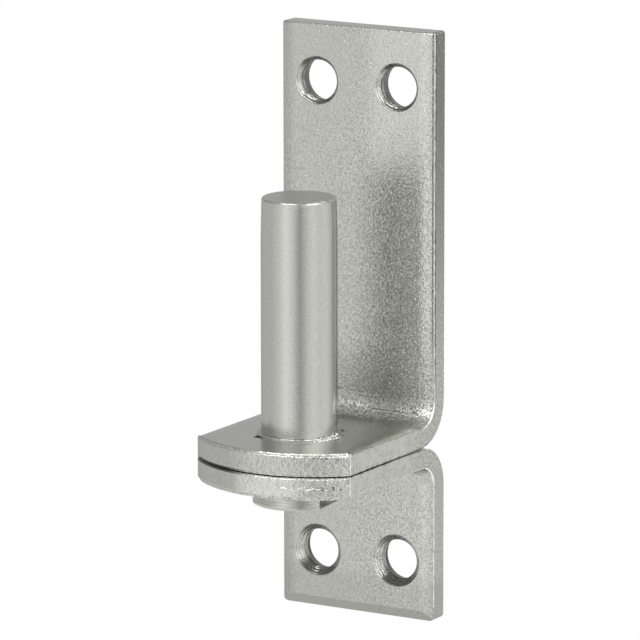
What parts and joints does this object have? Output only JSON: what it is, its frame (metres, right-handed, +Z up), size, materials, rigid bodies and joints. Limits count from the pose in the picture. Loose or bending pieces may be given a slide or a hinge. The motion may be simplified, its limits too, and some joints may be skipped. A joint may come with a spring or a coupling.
{
  "type": "gate hinge pin",
  "caption": "Upright round pin riveted through the nested tongues of a tall and a short screw-on wall bracket of bent flat steel; the eye of a gate's strap hinge drops over it.",
  "frame": {"origin": "on the pin's axis, at the top face of the upper tongue, where the gate's strap eye rests", "axes": "+Z up along the pin, +Y from the pin to the wall, +X along the width of the wall plates"},
  "size_m": [0.037, 0.0468, 0.1261],
  "materials": {
    "bracket_steel": "bare stainless steel, tumbled to an even satin grain, with rough torn grain on the sheared tongue ends",
    "pin_steel": "bare turned stainless steel, smooth satin, with soft bands along the pin"
  },
  "bodies": {
    "root": {"upper_bracket": "bracket_steel", "lower_bracket": "bracket_steel", "hinge_pin": "pin_steel"}
  },
  "joints": []
}
